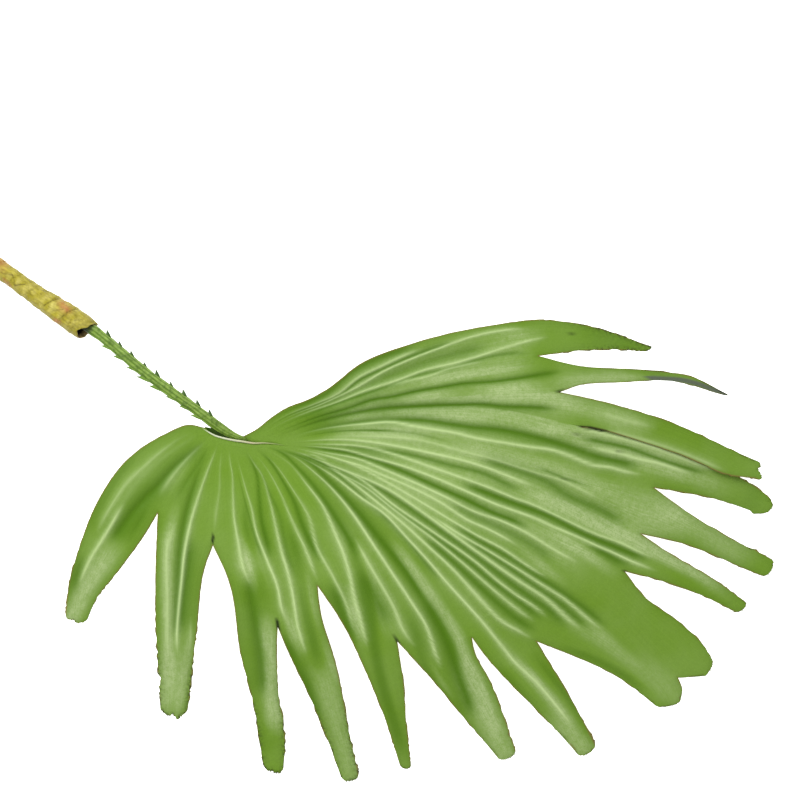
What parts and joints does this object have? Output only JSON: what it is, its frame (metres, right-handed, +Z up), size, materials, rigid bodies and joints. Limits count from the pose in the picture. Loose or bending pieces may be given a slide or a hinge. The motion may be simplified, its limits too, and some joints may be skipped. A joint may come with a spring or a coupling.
{
  "type": "fan palm leaf",
  "caption": "Fan palm leaf with a pleated, fingered blade on a grooved, thorny stalk that comes out of a rolled papery sheath, lying flat as cut.",
  "frame": {"origin": "on the flat strip along the underside of the sleeve, which the leaf rests on", "axes": "+X along the stalk towards the blade, +Z up from the surface it lies on"},
  "size_m": [0.503, 0.3544, 0.0321],
  "materials": {
    "blade": "satin fresh green leaf blade",
    "petiole": "satin green stalk",
    "sleeve": "dull olive-yellow papery sheath"
  },
  "bodies": {
    "root": {"blade": "blade", "petiole": "petiole", "sleeve": "sleeve"}
  },
  "joints": []
}
